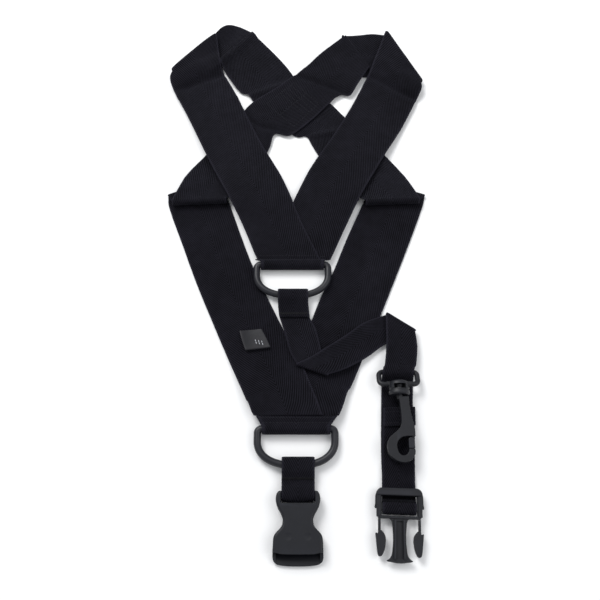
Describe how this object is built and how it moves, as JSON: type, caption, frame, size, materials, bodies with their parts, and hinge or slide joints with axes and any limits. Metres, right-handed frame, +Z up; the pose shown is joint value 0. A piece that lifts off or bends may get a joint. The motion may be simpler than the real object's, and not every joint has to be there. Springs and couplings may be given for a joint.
{
  "type": "saxophone shoulder harness",
  "caption": "Webbing shoulder harness for a wind instrument: crossed straps, D-rings, a swivel snap hook on a folding adjusting strap and a side-release buckle.",
  "frame": {"origin": "middle of the bounding box, on the table the harness lies on", "axes": "+X across the shoulders to the side of the snap hook, +Y from the buckles up to the shoulders, +Z up from the table"},
  "size_m": [0.2367, 0.4986, 0.0168],
  "materials": {
    "black_webbing": "matte herringbone weave",
    "narrow_webbing": "matte herringbone weave",
    "black_thread": "polyester thread",
    "ring_plastic": "moulded, slight sheen",
    "black_plastic": "moulded, slight sheen",
    "satin_label": "woven satin"
  },
  "bodies": {
    "harness": {"left_shoulder_strap": "black_webbing", "right_shoulder_strap": "black_webbing", "upper_ring_keeper": "black_webbing", "lower_ring_keeper": "black_webbing", "adjusting_strap": "narrow_webbing", "cross_patch_stitching": "black_thread", "upper_seam": "black_thread", "lower_seam": "black_thread", "size_label": "satin_label"},
    "upper_ring": {"upper_d_ring": "ring_plastic", "adjuster_ring_loop": "narrow_webbing", "adjuster_bartack": "black_thread"},
    "lower_ring": {"lower_d_ring": "ring_plastic"},
    "tether": {"buckle_tether": "narrow_webbing", "tether_bartack": "black_thread"},
    "socket": {"buckle_socket": "black_plastic"},
    "eye": {"hook_eye": "black_plastic"},
    "hook": {"hook_body": "black_plastic", "swivel_pin": "black_plastic"},
    "gate": {"hook_gate": "black_plastic"},
    "buckle": {"buckle_frame": "black_plastic", "buckle_strap_tail": "narrow_webbing"},
    "prong_left": {"left_prong": "black_plastic"},
    "prong_right": {"right_prong": "black_plastic"}
  },
  "joints": [
    {"name": "upper_ring_lift", "type": "hinge", "parent": "harness", "child": "upper_ring", "pos_m": [-0.00335, -0.0092, 0.0049], "axis": [-1, 0, 0], "range_deg": [0, 60]},
    {"name": "lower_ring_lift", "type": "hinge", "parent": "harness", "child": "lower_ring", "pos_m": [0.00005, -0.1487, 0.0049], "axis": [-1, 0, 0], "range_deg": [0, 60]},
    {"name": "tether_lift", "type": "hinge", "parent": "lower_ring", "child": "tether", "pos_m": [0.00165, -0.1761, 0.0049], "axis": [-1, 0, 0], "range_deg": [0, 40]},
    {"name": "socket_lift", "type": "hinge", "parent": "tether", "child": "socket", "pos_m": [0.00155, -0.1991, 0.0047], "axis": [-1, 0, 0], "range_deg": [0, 30]},
    {"name": "eye_lift", "type": "hinge", "parent": "harness", "child": "eye", "pos_m": [0.08065, -0.1031, 0.0045], "axis": [-1, 0, 0], "range_deg": [0, 75]},
    {"name": "hook_swivel", "type": "hinge", "parent": "eye", "child": "hook", "pos_m": [0.08065, -0.1237, 0.0099], "axis": [0, 1, 0], "range_deg": [-9, 9]},
    {"name": "gate_open", "type": "hinge", "parent": "hook", "child": "gate", "pos_m": [0.08795, -0.1589, 0.0099], "axis": [0, 0, -1], "range_deg": [0, 18], "stiffness_Nm_per_rad": 0.05, "springref_deg": -5.73},
    {"name": "buckle_adjust", "type": "slide", "parent": "harness", "child": "buckle", "axis": [0, -1, 0], "range_m": [0, 0.015]},
    {"name": "left_prong_squeeze", "type": "hinge", "parent": "buckle", "child": "prong_left", "pos_m": [0.06176, -0.21542, 0.0049], "axis": [0, 0, 1], "range_deg": [0, 7], "stiffness_Nm_per_rad": 0.6},
    {"name": "right_prong_squeeze", "type": "hinge", "parent": "buckle", "child": "prong_right", "pos_m": [0.09154, -0.21657, 0.0049], "axis": [0, 0, -1], "range_deg": [0, 7], "stiffness_Nm_per_rad": 0.6}
  ]
}
